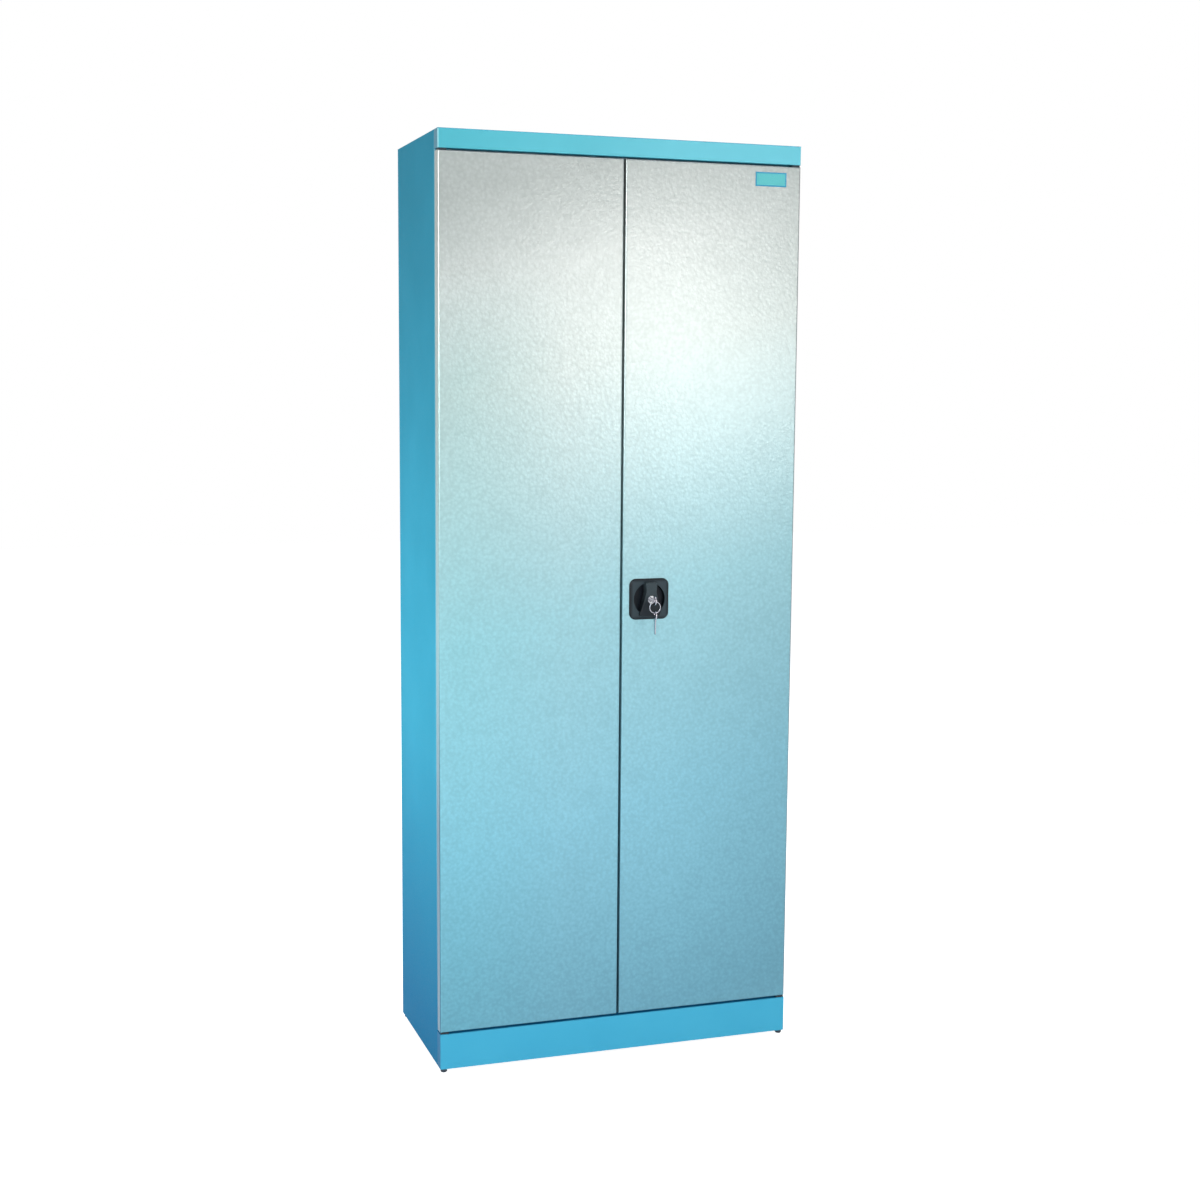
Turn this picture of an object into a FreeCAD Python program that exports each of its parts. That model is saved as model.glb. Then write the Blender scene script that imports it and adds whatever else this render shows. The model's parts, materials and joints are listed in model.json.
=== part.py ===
import FreeCAD, Part
import math
import os
from collections import namedtuple
from types import SimpleNamespace

import Sketcher

# Tool cabinet with two doors, in millimetres.
# +X is to the right of someone facing the doors, +Y runs to the back, +Z is up.
# The origin lies on the floor, in the middle of the width and of the whole depth, keys included.
# Lengths are named here once and go into the sheet; every piece is bound to the sheet's cells.
SIZES = (
    # The cabinet as a whole
    ("width", 770),
    ("depth", 360),
    ("height", 1900),
    ("foot_height", 8),
    ("plinth_height", 74),
    ("header_height", 38),
    ("carcass_sheet", 1.2),
    ("carcass_bend", 2.5),
    ("seat_gap", 0.3),
    ("running_gap", 0.05),
    ("overrun", 2),
    # Side panels with their folded posts, and the frame that the doors close against
    ("post_width", 30),
    ("post_return", 15),
    ("rear_flange", 20),
    ("roof_edge", 1),
    ("upper_stop_reach", 21),
    ("lower_stop_reach", 15),
    ("stop_foot", 12),
    # Cabinet floor and the rail below it
    ("floor_flange", 25),
    ("rail_width", 60),
    ("rail_height", 30),
    ("rail_brim", 15),
    # Back panel with pressed ribs and wall fixing holes
    ("rib_width", 24),
    ("rib_rise", 3),
    ("rib_end", 90),
    ("wall_hole_radius", 4.5),
    ("wall_hole_spacing", 600),
    ("wall_hole_drop", 70),
    # Slotted uprights that carry the shelves
    ("upright_width", 30),
    ("upright_depth", 12),
    ("front_upright_set", 30),
    ("rear_upright_set", 40),
    ("upright_top_gap", 30),
    ("upright_foot_gap", 10),
    ("slot_pitch", 70),
    ("slot_width", 8),
    ("slot_height", 16),
    ("slot_count", 24),
    # Shelves and their clips
    ("shelf_count", 4),
    ("shelf_step_count", 5),
    ("shelf_sheet", 1),
    ("shelf_height", 25),
    ("shelf_lip", 14),
    ("shelf_side_gap", 2),
    ("shelf_front_gap", 6),
    ("shelf_back_gap", 5),
    ("shelf_bend", 1.5),
    ("clip_sheet", 1.5),
    ("clip_ledge", 14),
    ("clip_hook", 6),
    # Doors
    ("door_thickness", 24),
    ("door_sheet", 1),
    ("door_bend", 3.5),
    ("door_lip", 18),
    ("door_gap", 4),
    ("centre_gap", 4),
    ("door_back_gap", 4),
    ("stiffener_width", 50),
    ("stiffener_brim", 12),
    ("stiffener_depth", 14),
    ("stiffener_end_gap", 30),
    # Door pivots at the outer front corners
    ("pivot_inset", 10),
    ("pin_radius", 4),
    ("pin_reach", 12),
    ("bush_half", 6),
    ("bush_flange_half", 8),
    ("bush_length", 11),
    # Rubber buffers that the doors close on
    ("buffer_half", 5),
    ("buffer_offset", 25),
    # Glides under the corners
    ("glide_radius", 7),
    ("glide_sole_edge", 1.5),
    ("glide_shank_half", 3.5),
    ("glide_shank_length", 14),
    ("glide_inset", 9),
    ("corner_plate_length", 45),
    ("corner_plate_width", 25),
    ("corner_plate_thickness", 3),
    # Lock: place on the right door, plate and dish
    ("lock_offset", 59.7),
    ("lock_height", 969.5),
    ("plate_width", 86),
    ("plate_height", 85),
    ("plate_corner", 14),
    ("plate_thickness", 4),
    ("plate_edge", 2.5),
    ("dish_radius", 34),
    ("dish_wall", 2),
    ("dish_depth", 14),
    ("dish_floor", 3),
    ("cup_corner", 4),
    ("retainer_overhang", 7),
    ("retainer_thickness", 1.5),
    # Turning handle
    ("handle_disc_gap", 0.5),
    ("handle_disc_height", 3),
    ("grip_reach", 19),
    ("grip_top", 35),
    ("grip_top_half", 13),
    ("grip_waist", 16),
    ("grip_waist_half", 10.6),
    ("grip_foot", 34.5),
    ("grip_foot_half", 23.8),
    ("grip_crown", 1),
    ("grip_foot_bow", 1.5),
    ("grip_edge", 1.5),
    ("grip_corner", 4),
    ("grip_waist_round", 15),
    ("grip_ridge", 9),
    ("grip_slope", 8),
    ("grip_plate_gap", 0.5),
    ("hub_radius", 9),
    ("spindle_half", 4.5),
    # Key cylinder
    ("barrel_radius", 8),
    ("barrel_face", 18),
    ("barrel_end", 8),
    ("plug_radius", 5.5),
    # Keys and their ring
    ("key_thickness", 2),
    ("key_blade_half", 3.6),
    ("key_shoulder_half", 5.4),
    ("key_bow_radius", 9.5),
    ("key_front", 45),
    ("key_neck", 3),
    ("key_blade_length", 27),
    ("key_cut", 1.8),
    ("key_cut_count", 5),
    ("key_hole_radius", 3),
    ("key_hole_edge", 6.5),
    ("key_side_gap", 0.2),
    ("ring_radius", 11.6),
    ("ring_wire_half", 0.8),
    # Locking rods and the cam that drives them
    ("cam_pin_reach", 20),
    ("cam_pin_radius", 3),
    ("cam_gap", 0.5),
    ("cam_thickness", 2.5),
    ("cam_lobe", 7),
    ("cam_corner", 4),
    ("cam_screw_radius", 6),
    ("cam_screw_head", 3.5),
    ("cam_rest_angle", 45),
    ("rod_half", 5),
    ("rod_thickness", 4),
    ("rod_slot_play", 1),
    ("rod_slot_end_play", 0.5),
    ("rod_foot_wall", 4),
    ("rod_neck", 8),
    ("rod_neck_height", 12),
    ("rod_tip", 3),
    ("rod_play", 0.3),
    ("strike_play", 1.5),
    ("guide_sheet", 1),
    ("guide_height", 20),
    ("guide_brim", 9),
    ("guide_first", 150),
    ("guide_end_gap", 285),
    # Sliding bolts of the left door
    ("bolt_length", 130),
    ("bolt_guide_set", 55),
    ("bolt_tab_thickness", 4),
    ("bolt_tab_reach", 10),
)

document = FreeCAD.newDocument("tool_cabinet")
sheet = document.addObject("Spreadsheet::Sheet", "sizes")
for row, (alias, value) in enumerate(SIZES, start=1):
    sheet.set(f"A{row}", alias)
    sheet.set(f"B{row}", str(value))
    sheet.setAlias(f"B{row}", alias)
document.recompute()


class Size:
    """A number of the model beside the same sum written with the sheet's cells."""

    def __init__(self, number, text):
        self.number = number
        self.text = text

    def __add__(self, other):
        return Size(self.number + number_of(other), f"({self.text} + {text_of(other)})")

    def __sub__(self, other):
        return Size(self.number - number_of(other), f"({self.text} - {text_of(other)})")

    def __mul__(self, other):
        return Size(self.number * number_of(other), f"({self.text} * {text_of(other)})")

    def __truediv__(self, other):
        return Size(self.number / number_of(other), f"({self.text} / {text_of(other)})")

    def __neg__(self):
        return Size(-self.number, f"(0 - {self.text})")

    def __radd__(self, other):
        return Size(other + self.number, f"({other} + {self.text})")

    def __rsub__(self, other):
        return Size(other - self.number, f"({other} - {self.text})")

    def __rmul__(self, other):
        return Size(other * self.number, f"({other} * {self.text})")


def number_of(value):
    return value.number if isinstance(value, Size) else value


def text_of(value):
    return value.text if isinstance(value, Size) else str(value)


def bind(thing, name, value):
    thing.setExpression(name, text_of(value))


s = SimpleNamespace(**{alias: Size(float(value), f"sizes.{alias}") for alias, value in SIZES})

# Places that several pieces share
hole_reach = s.key_front - s.key_hole_edge
key_reach = hole_reach + s.key_bow_radius
front = (key_reach - s.depth) / 2
back = front + s.depth
half = s.width / 2
inner_half = half - s.carcass_sheet
header_bottom = s.height - s.header_height
plinth_top = s.foot_height + s.plinth_height
roof_under = s.height - s.carcass_sheet
frame_front = front + s.door_thickness + s.door_back_gap
post_back = frame_front + s.post_return
opening_half = half - s.post_width
back_panel_front = back - 2 * s.carcass_sheet
door_top = header_bottom - s.door_gap
door_bottom = plinth_top + s.door_gap
door_inner_edge = s.centre_gap / 2
pivot_x = half - s.pivot_inset
pivot_y = front + s.pivot_inset

# Depths behind the door's face, counted along the lock's own axis (negative is inside)
dish_bottom = s.plate_thickness - s.dish_depth
cup_back = dish_bottom - s.dish_floor
cup_half = s.dish_radius + s.dish_wall
cam_front = cup_back - s.cam_gap
cam_back = cam_front - s.cam_thickness
rod_front = cam_back - s.cam_gap
rod_back = rod_front - s.rod_thickness
rod_middle = rod_front - s.rod_thickness / 2

# How far a cam pin stands above and beside the lock's axis, as a share of its reach
PIN_RISE_SHARE = math.sin(math.radians(s.cam_rest_angle.number))
PIN_SIDE_SHARE = math.cos(math.radians(s.cam_rest_angle.number))

PLANE_NORMALS = {"XY_Plane": 1, "XZ_Plane": -1, "YZ_Plane": 1}
NEAR = 1e-3
FRONT_FACING_LEAST = 0.9
X_AXIS = FreeCAD.Vector(1, 0, 0)
Z_AXIS = FreeCAD.Vector(0, 0, 1)
UPRIGHT = FreeCAD.Rotation(X_AXIS, 0)
UPSIDE_DOWN = FreeCAD.Rotation(X_AXIS, 180)
FACING_OUT = FreeCAD.Rotation(X_AXIS, 90)
CAM_AT_REST = FACING_OUT.multiply(FreeCAD.Rotation(Z_AXIS, -s.cam_rest_angle.number))

# Shares: where the ribs stand on the back, and how deep each cut of the key is
RIB_SHARES = (-1 / 3, 1 / 3)
CUT_DEPTH_SHARES = (0.6, 1, 0.4, 0.8, 0.5)
FULL_TURN = 360
HEXAGON_SIDE_COUNT = 6
OCTAGON_SIDE_COUNT = 8

Ring = namedtuple("Ring", "x y radius")
sub_parts = []


# Sketches and features
def new_body(name):
    body = document.addObject("PartDesign::Body", name)
    body.Label = name
    sub_parts.append(body)
    return body


def origin_part(body, role):
    return next(part for part in body.Origin.OriginFeatures if part.Role == role)


def put(thing, x, y, z, turn=UPRIGHT):
    thing.Placement = FreeCAD.Placement(FreeCAD.Vector(), turn)
    bind(thing, "Placement.Base.x", x)
    bind(thing, "Placement.Base.y", y)
    bind(thing, "Placement.Base.z", z)


def box_loop(x0, y0, x1, y1):
    return [(x0, y0), (x1, y0), (x1, y1), (x0, y1)]


def polygon(side_count, reach):
    """A regular outline round the origin with a flat side towards the front."""
    half_step = math.pi / side_count
    angles = [half_step + 2 * half_step * number for number in range(side_count)]
    return [(reach * math.cos(angle), reach * math.sin(angle)) for angle in angles]


def pin_point(sketch, geometry, end, x, y):
    """Fixes one point of the sketch at a place given in sizes."""
    for kind, value in (("DistanceX", x), ("DistanceY", y)):
        index = sketch.addConstraint(Sketcher.Constraint(kind, -1, 1, geometry, end, number_of(value)))
        bind(sketch, f"Constraints[{index}]", value)


def draw_circle(sketch, ring):
    centre = FreeCAD.Vector(number_of(ring.x), number_of(ring.y), 0)
    circle = sketch.addGeometry(Part.Circle(centre, Z_AXIS, ring.radius.number), False)
    pin_point(sketch, circle, 3, ring.x, ring.y)
    index = sketch.addConstraint(Sketcher.Constraint("Radius", circle, ring.radius.number))
    bind(sketch, f"Constraints[{index}]", ring.radius)


def draw_loop(sketch, corners):
    """Draws a closed outline. A third value on a corner bows the side that leaves it, outwards
    on an outline that runs anticlockwise."""
    sides = []
    for corner, following in zip(corners, corners[1:] + corners[:1]):
        start = FreeCAD.Vector(number_of(corner[0]), number_of(corner[1]), 0)
        end = FreeCAD.Vector(number_of(following[0]), number_of(following[1]), 0)
        if len(corner) == 2:
            side = sketch.addGeometry(Part.LineSegment(start, end), False)
            sides.append((side, 1, 2))
            continue
        rise = corner[2]
        chord = end - start
        outward = FreeCAD.Vector(chord.y, -chord.x, 0).normalize()
        middle = (start + end) / 2 + outward * rise.number
        bows_out = rise.number > 0
        ends = (start, end) if bows_out else (end, start)
        side = sketch.addGeometry(Part.Arc(ends[0], middle, ends[1]), False)
        sides.append((side, 1, 2) if bows_out else (side, 2, 1))
        across = (following[0] - corner[0]) * (following[0] - corner[0])
        along = (following[1] - corner[1]) * (following[1] - corner[1])
        depth = rise if bows_out else -rise
        radius = ((across + along) / 4 + rise * rise) / (2 * depth)
        index = sketch.addConstraint(Sketcher.Constraint("Radius", side, radius.number))
        bind(sketch, f"Constraints[{index}]", radius)
    for (side, _, last), (next_side, first, _) in zip(sides, sides[1:] + sides[:1]):
        sketch.addConstraint(Sketcher.Constraint("Coincident", side, last, next_side, first))
    for (side, first, _), corner in zip(sides, corners):
        pin_point(sketch, side, first, corner[0], corner[1])


def new_sketch(body, plane, level, loops):
    sketch = body.newObject("Sketcher::SketchObject", f"{body.Name}_outline")
    sketch.AttachmentSupport = (origin_part(body, plane), [""])
    sketch.MapMode = "FlatFace"
    bind(sketch, "AttachmentOffset.Base.z", level * PLANE_NORMALS[plane])
    for loop in loops:
        if isinstance(loop, Ring):
            draw_circle(sketch, loop)
        else:
            draw_loop(sketch, loop)
    return sketch


def pad(body, plane, level, length, *loops):
    """Adds a solid that runs from its level along the plane's positive axis."""
    feature = body.newObject("PartDesign::Pad", f"{body.Name}_pad")
    feature.Profile = new_sketch(body, plane, level, loops)
    bind(feature, "Length", length)
    feature.Reversed = PLANE_NORMALS[plane] < 0
    return feature


def pocket(body, plane, level, length, *loops):
    """Cuts from its level along the plane's positive axis."""
    feature = body.newObject("PartDesign::Pocket", f"{body.Name}_pocket")
    feature.Profile = new_sketch(body, plane, level, loops)
    bind(feature, "Length", length)
    feature.Reversed = PLANE_NORMALS[plane] > 0
    return feature


def revolve(body, profile):
    """Turns a half profile of (radius, height) points about the body's Z axis."""
    feature = body.newObject("PartDesign::Revolution", f"{body.Name}_turned")
    feature.Profile = new_sketch(body, "XZ_Plane", 0, [profile])
    feature.ReferenceAxis = (feature.Profile[0], ["V_Axis"])
    feature.Angle = FULL_TURN
    return feature


def on_line(edge, x=None, y=None, z=None):
    """True for an edge whose ends all lie at the places given."""
    for vertex in edge.Vertexes:
        for place, value in ((vertex.X, x), (vertex.Y, y), (vertex.Z, z)):
            if value is not None and abs(place - number_of(value)) > NEAR:
                return False
    return True


def dress_edges(body, base, kind, size_name, size, wanted):
    names = [f"Edge{number}" for number, edge in enumerate(base.Shape.Edges, start=1) if wanted(edge)]
    feature = body.newObject(f"PartDesign::{kind}", f"{body.Name}_{kind.lower()}")
    feature.Base = (base, names)
    bind(feature, size_name, size)
    document.recompute()
    return feature


def soften(body, base, radius, lines):
    """Rounds the edges of a feature that lie on the given lines."""
    document.recompute()
    return dress_edges(body, base, "Fillet", "Radius", radius,
                       lambda edge: any(on_line(edge, **line) for line in lines))


def chamfer(body, base, size, lines):
    """Bevels the edges of a feature that lie on the given lines."""
    document.recompute()
    return dress_edges(body, base, "Chamfer", "Size", size,
                       lambda edge: any(on_line(edge, **line) for line in lines))


def chamfer_front(body, base, size):
    """Bevels the rim of the faces that look out of the door, but not the folds between them."""
    document.recompute()
    fronts = [face for face in base.Shape.Faces if face.normalAt(0, 0).z > FRONT_FACING_LEAST]
    rim = [edge for face in fronts for edge in face.Edges]
    return dress_edges(body, base, "Chamfer", "Size", size,
                       lambda edge: sum(edge.isSame(other) for other in rim) == 1)


def square_corners(x, y):
    return [{"x": a * x, "y": b * y} for a in (-1, 1) for b in (-1, 1)]


def tray(body, plane, level, corner, far_corner, height, sheet_size, lip):
    """A folded pan: its face, the walls bent back all round and the lip turned in along them."""
    x0, y0 = corner
    x1, y1 = far_corner
    outer = box_loop(x0, y0, x1, y1)
    inner = box_loop(x0 + sheet_size, y0 + sheet_size, x1 - sheet_size, y1 - sheet_size)
    mouth = box_loop(x0 + lip, y0 + lip, x1 - lip, y1 - lip)
    pad(body, plane, level, sheet_size, outer)
    pad(body, plane, level, height, outer, inner)
    return pad(body, plane, level + height - sheet_size, sheet_size, outer, mouth)


def hat_loop(centre, base_line, half_width, brim, rise, sheet_size):
    """The folded section of a hat channel that stands on a base line."""
    inside = half_width - sheet_size
    return [
        (centre - half_width - brim, base_line),
        (centre - inside, base_line),
        (centre - inside, base_line + rise - sheet_size),
        (centre + inside, base_line + rise - sheet_size),
        (centre + inside, base_line),
        (centre + half_width + brim, base_line),
        (centre + half_width + brim, base_line + sheet_size),
        (centre + half_width, base_line + sheet_size),
        (centre + half_width, base_line + rise),
        (centre - half_width, base_line + rise),
        (centre - half_width, base_line + sheet_size),
        (centre - half_width - brim, base_line + sheet_size),
    ]


def gather(name, pieces):
    """Joins loose copies of one fixing into a sub-part of several solids."""
    group = document.addObject("Part::Compound", name)
    group.Label = name
    group.Links = pieces
    for piece in pieces:
        sub_parts.remove(piece)
    sub_parts.append(group)
    return group


# Carcass: side panels
def side_panel(name, side):
    """An outer wall with a folded post behind the door and a flange round the back."""
    body = new_body(name)
    sheet_size = s.carcass_sheet
    section = [
        (side * half, frame_front),
        (side * opening_half, frame_front),
        (side * opening_half, post_back),
        (side * (opening_half + sheet_size), post_back),
        (side * (opening_half + sheet_size), frame_front + sheet_size),
        (side * inner_half, frame_front + sheet_size),
        (side * inner_half, back - sheet_size),
        (side * (half - s.rear_flange), back - sheet_size),
        (side * (half - s.rear_flange), back),
        (side * half, back),
    ]
    wall = pad(body, "XY_Plane", s.foot_height, roof_under - s.foot_height, section)
    outer_bends = [{"x": side * half, "y": frame_front}, {"x": side * half, "y": back}]
    soften(body, wall, s.carcass_bend, outer_bends)


side_panel("left_side_panel", -1)
side_panel("right_side_panel", 1)


# Carcass: roof, header band, plinth and the stops for the doors
def strike_slots():
    """Where the locking rod and the bolt pass through a flange of the frame."""
    rod_y = front - rod_middle
    reach_x = s.rod_half + s.strike_play
    reach_y = s.rod_thickness / 2 + s.strike_play
    places = (-s.lock_offset, s.lock_offset)
    return [box_loop(rod_x - reach_x, rod_y - reach_y, rod_x + reach_x, rod_y + reach_y) for rod_x in places]


def frame_ends(body, low, high):
    """Closes both ends of a band with its side returns."""
    for start in (-half, inner_half):
        end_return = box_loop(front, low, frame_front, high)
        pad(body, "YZ_Plane", start, s.carcass_sheet, end_return)


def roof_panel():
    """The flat roof sheet with its flange turned down behind the back panel."""
    body = new_body("roof_panel")
    section = [
        (front, roof_under),
        (back - s.carcass_sheet, roof_under),
        (back - s.carcass_sheet, s.height - s.rear_flange),
        (back, s.height - s.rear_flange),
        (back, s.height),
        (front, s.height),
    ]
    rear_half = half - s.rear_flange
    pad(body, "YZ_Plane", -rear_half, 2 * rear_half, section)
    top = pad(body, "XY_Plane", roof_under, s.carcass_sheet, box_loop(-half, front, half, back))
    edges = [{"y": front, "z": s.height}, {"x": -half, "z": s.height}, {"x": half, "z": s.height}]
    soften(body, top, s.roof_edge, edges)


def header_band():
    """The band over the doors, its lower flange and its side returns."""
    body = new_body("header_band")
    sheet_size = s.carcass_sheet
    section = [
        (front, header_bottom),
        (frame_front, header_bottom),
        (frame_front, header_bottom + sheet_size),
        (front + sheet_size, header_bottom + sheet_size),
        (front + sheet_size, roof_under),
        (front, roof_under),
    ]
    pad(body, "YZ_Plane", -half, s.width, section)
    frame_ends(body, header_bottom, roof_under)
    holes = pocket(body, "XY_Plane", header_bottom - s.overrun, sheet_size + 2 * s.overrun, *strike_slots())
    bends = [
        {"y": front, "z": header_bottom},
        {"x": -half, "y": front},
        {"x": half, "y": front},
    ]
    soften(body, holes, s.carcass_bend, bends)


def plinth():
    body = new_body("plinth")
    sheet_size = s.carcass_sheet
    section = [
        (front, s.foot_height),
        (front + sheet_size, s.foot_height),
        (front + sheet_size, plinth_top - sheet_size),
        (frame_front, plinth_top - sheet_size),
        (frame_front, plinth_top),
        (front, plinth_top),
    ]
    pad(body, "YZ_Plane", -half, s.width, section)
    frame_ends(body, s.foot_height, plinth_top)
    ledge = box_loop(-opening_half, frame_front, opening_half, post_back)
    pad(body, "XY_Plane", plinth_top - sheet_size, sheet_size, ledge)
    under = plinth_top - sheet_size - s.overrun
    holes = pocket(body, "XY_Plane", under, sheet_size + 2 * s.overrun, *strike_slots())
    bends = [
        {"y": front, "z": plinth_top},
        {"x": -half, "y": front},
        {"x": half, "y": front},
    ]
    soften(body, holes, s.carcass_bend, bends)


def door_stop(name, foot_z, way, reach):
    """An angle strip between the posts; the doors close against its upright leg."""
    body = new_body(name)
    sheet_size = s.carcass_sheet
    section = [
        (frame_front, foot_z),
        (frame_front + s.stop_foot, foot_z),
        (frame_front + s.stop_foot, foot_z + way * sheet_size),
        (frame_front + sheet_size, foot_z + way * sheet_size),
        (frame_front + sheet_size, foot_z + way * reach),
        (frame_front, foot_z + way * reach),
    ]
    pad(body, "YZ_Plane", -opening_half, 2 * opening_half, section)


roof_panel()
header_band()
plinth()
door_stop("upper_door_stop", header_bottom + s.carcass_sheet, -1, s.upper_stop_reach)
door_stop("lower_door_stop", plinth_top, 1, s.lower_stop_reach)


# Carcass: floor, rail below it and back panel
def floor_panel():
    body = new_body("floor_panel")
    sheet_size = s.carcass_sheet
    low = plinth_top - s.floor_flange
    section = [
        (post_back, low),
        (post_back + sheet_size, low),
        (post_back + sheet_size, plinth_top - sheet_size),
        (back_panel_front - sheet_size, plinth_top - sheet_size),
        (back_panel_front - sheet_size, low),
        (back_panel_front, low),
        (back_panel_front, plinth_top),
        (post_back, plinth_top),
    ]
    pad(body, "YZ_Plane", -inner_half, 2 * inner_half, section)


def floor_rail():
    """A hat channel welded under the middle of the floor, open side down."""
    body = new_body("floor_rail")
    middle = (post_back + back_panel_front) / 2
    section = hat_loop(middle, -(plinth_top - s.carcass_sheet), s.rail_width / 2, s.rail_brim,
                       s.rail_height, s.carcass_sheet)
    flipped = [(along, -down) for along, down in section]
    pad(body, "YZ_Plane", -inner_half, 2 * inner_half, flipped)


def back_panel():
    """A plain sheet with upright ribs pressed to the inside and two holes for fixing to a wall."""
    body = new_body("back_panel")
    sheet_size = s.carcass_sheet
    bottom = s.foot_height
    top = roof_under
    hole_z = top - s.wall_hole_drop
    holes = [Ring(side * s.wall_hole_spacing / 2, hole_z, s.wall_hole_radius) for side in (-1, 1)]
    outline = box_loop(-inner_half, bottom, inner_half, top)
    pad(body, "XZ_Plane", back_panel_front, sheet_size, outline, *holes)
    rib_bottom = plinth_top + s.rib_end
    rib_length = top - s.rib_end - rib_bottom
    for rib_share in RIB_SHARES:
        centre = inner_half * rib_share
        inside = s.rib_width / 2
        groove = [
            (centre - inside, back_panel_front),
            (centre - inside + s.rib_rise, back_panel_front - s.rib_rise),
            (centre + inside - s.rib_rise, back_panel_front - s.rib_rise),
            (centre + inside, back_panel_front),
        ]
        pad(body, "XY_Plane", rib_bottom, rib_length, groove)
        hollow = [
            (centre - inside, back_panel_front + sheet_size),
            (centre - inside + s.rib_rise, back_panel_front + sheet_size - s.rib_rise),
            (centre + inside - s.rib_rise, back_panel_front + sheet_size - s.rib_rise),
            (centre + inside, back_panel_front + sheet_size),
        ]
        pocket(body, "XY_Plane", rib_bottom + sheet_size, rib_length - 2 * sheet_size, hollow)


floor_panel()
floor_rail()
back_panel()

# Uprights and shelves
front_upright_y = post_back + s.front_upright_set + s.upright_width / 2
rear_upright_y = back_panel_front - s.rear_upright_set - s.upright_width / 2
upright_face = inner_half - s.upright_depth
first_slot = plinth_top + s.slot_pitch


def upright(name, side, middle_y):
    """A slotted channel welded to a side panel; the shelf clips hook into its face."""
    body = new_body(name)
    sheet_size = s.carcass_sheet
    reach = s.upright_width / 2
    section = [
        (side * inner_half, middle_y - reach),
        (side * upright_face, middle_y - reach),
        (side * upright_face, middle_y + reach),
        (side * inner_half, middle_y + reach),
        (side * inner_half, middle_y + reach - sheet_size),
        (side * (upright_face + sheet_size), middle_y + reach - sheet_size),
        (side * (upright_face + sheet_size), middle_y - reach + sheet_size),
        (side * inner_half, middle_y - reach + sheet_size),
    ]
    foot = plinth_top + s.upright_foot_gap
    pad(body, "XY_Plane", foot, roof_under - s.upright_top_gap - foot, section)
    slot_low = first_slot - s.slot_height
    slot = box_loop(middle_y - s.slot_width / 2, slot_low, middle_y + s.slot_width / 2, first_slot)
    cut_length = sheet_size + 2 * s.overrun
    cut_start = side * (upright_face + sheet_size / 2) - cut_length / 2
    first_cut = pocket(body, "YZ_Plane", cut_start, cut_length, slot)
    row = body.newObject("PartDesign::LinearPattern", f"{name}_slots")
    row.Originals = [first_cut]
    row.Direction = (origin_part(body, "Z_Axis"), [""])
    bind(row, "Length", s.slot_pitch * (s.slot_count - 1))
    bind(row, "Occurrences", s.slot_count)
    body.Tip = row


for side_name, side in (("left", -1), ("right", 1)):
    upright(f"upright_{side_name}_front", side, front_upright_y)
    upright(f"upright_{side_name}_rear", side, rear_upright_y)

shelf_half = upright_face - s.shelf_side_gap
shelf_front = post_back + s.shelf_front_gap
shelf_back = back_panel_front - s.shelf_back_gap


def shelf_top(number):
    return plinth_top + s.slot_pitch * s.shelf_step_count * number


def shelf(number):
    body = new_body(f"shelf_{number}")
    level = shelf_top(number) - s.shelf_height
    x0, x1 = -shelf_half, shelf_half
    outer = box_loop(x0, shelf_front, x1, shelf_back)
    wall = s.shelf_sheet
    inner = box_loop(x0 + wall, shelf_front + wall, x1 - wall, shelf_back - wall)
    lip = s.shelf_lip
    mouth = box_loop(x0 + lip, shelf_front + lip, x1 - lip, shelf_back - lip)
    pad(body, "XY_Plane", level, wall, outer, mouth)
    pad(body, "XY_Plane", level, s.shelf_height, outer, inner)
    face = pad(body, "XY_Plane", level + s.shelf_height - wall, wall, outer)
    soften(body, face, s.shelf_bend, [{"y": shelf_front, "z": level + s.shelf_height}])


def shelf_clip(number, side, middle_y, corner):
    """A bent steel clip: it hangs over the lower edge of a slot and turns in under the shelf."""
    body = new_body(f"clip_{number}_{corner}")
    sheet_size = s.clip_sheet
    ledge_top = shelf_top(number) - s.shelf_height
    ledge_low = ledge_top - sheet_size
    slot_low = shelf_top(number) - s.slot_height
    plate_face = upright_face - sheet_size
    ledge_end = plate_face - s.clip_ledge
    hook_face = upright_face + s.carcass_sheet + s.seat_gap
    hook_back = hook_face + sheet_size
    section = [
        (upright_face, ledge_low),
        (upright_face, slot_low),
        (hook_face, slot_low),
        (hook_face, slot_low - s.clip_hook),
        (hook_back, slot_low - s.clip_hook),
        (hook_back, slot_low + sheet_size),
        (plate_face, slot_low + sheet_size),
        (plate_face, ledge_top),
        (ledge_end, ledge_top),
        (ledge_end, ledge_low),
    ]
    width = s.slot_width - 2 * s.seat_gap
    pad(body, "XZ_Plane", middle_y - width / 2, width, [(side * x, z) for x, z in section])
    return body


for number in range(1, int(s.shelf_count.number) + 1):
    shelf(number)
    clips = []
    for corner, side, middle_y in (
        ("left_front", -1, front_upright_y),
        ("left_rear", -1, rear_upright_y),
        ("right_front", 1, front_upright_y),
        ("right_rear", 1, rear_upright_y),
    ):
        clips.append(shelf_clip(number, side, middle_y, corner))
    gather(f"shelf_{number}_clips", clips)


# Glides and the plates that hold them
def glide(name, x, y):
    """A moulded foot with eight flats; its square shank is pressed into the corner plate."""
    body = new_body(name)
    put(body, x, y, 0)
    foot = pad(body, "XY_Plane", 0, s.foot_height, polygon(OCTAGON_SIDE_COUNT, s.glide_radius))
    chamfer(body, foot, s.glide_sole_edge, [{"z": 0}])
    shank = s.glide_shank_half
    pad(body, "XY_Plane", s.foot_height, s.glide_shank_length, box_loop(-shank, -shank, shank, shank))


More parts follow.
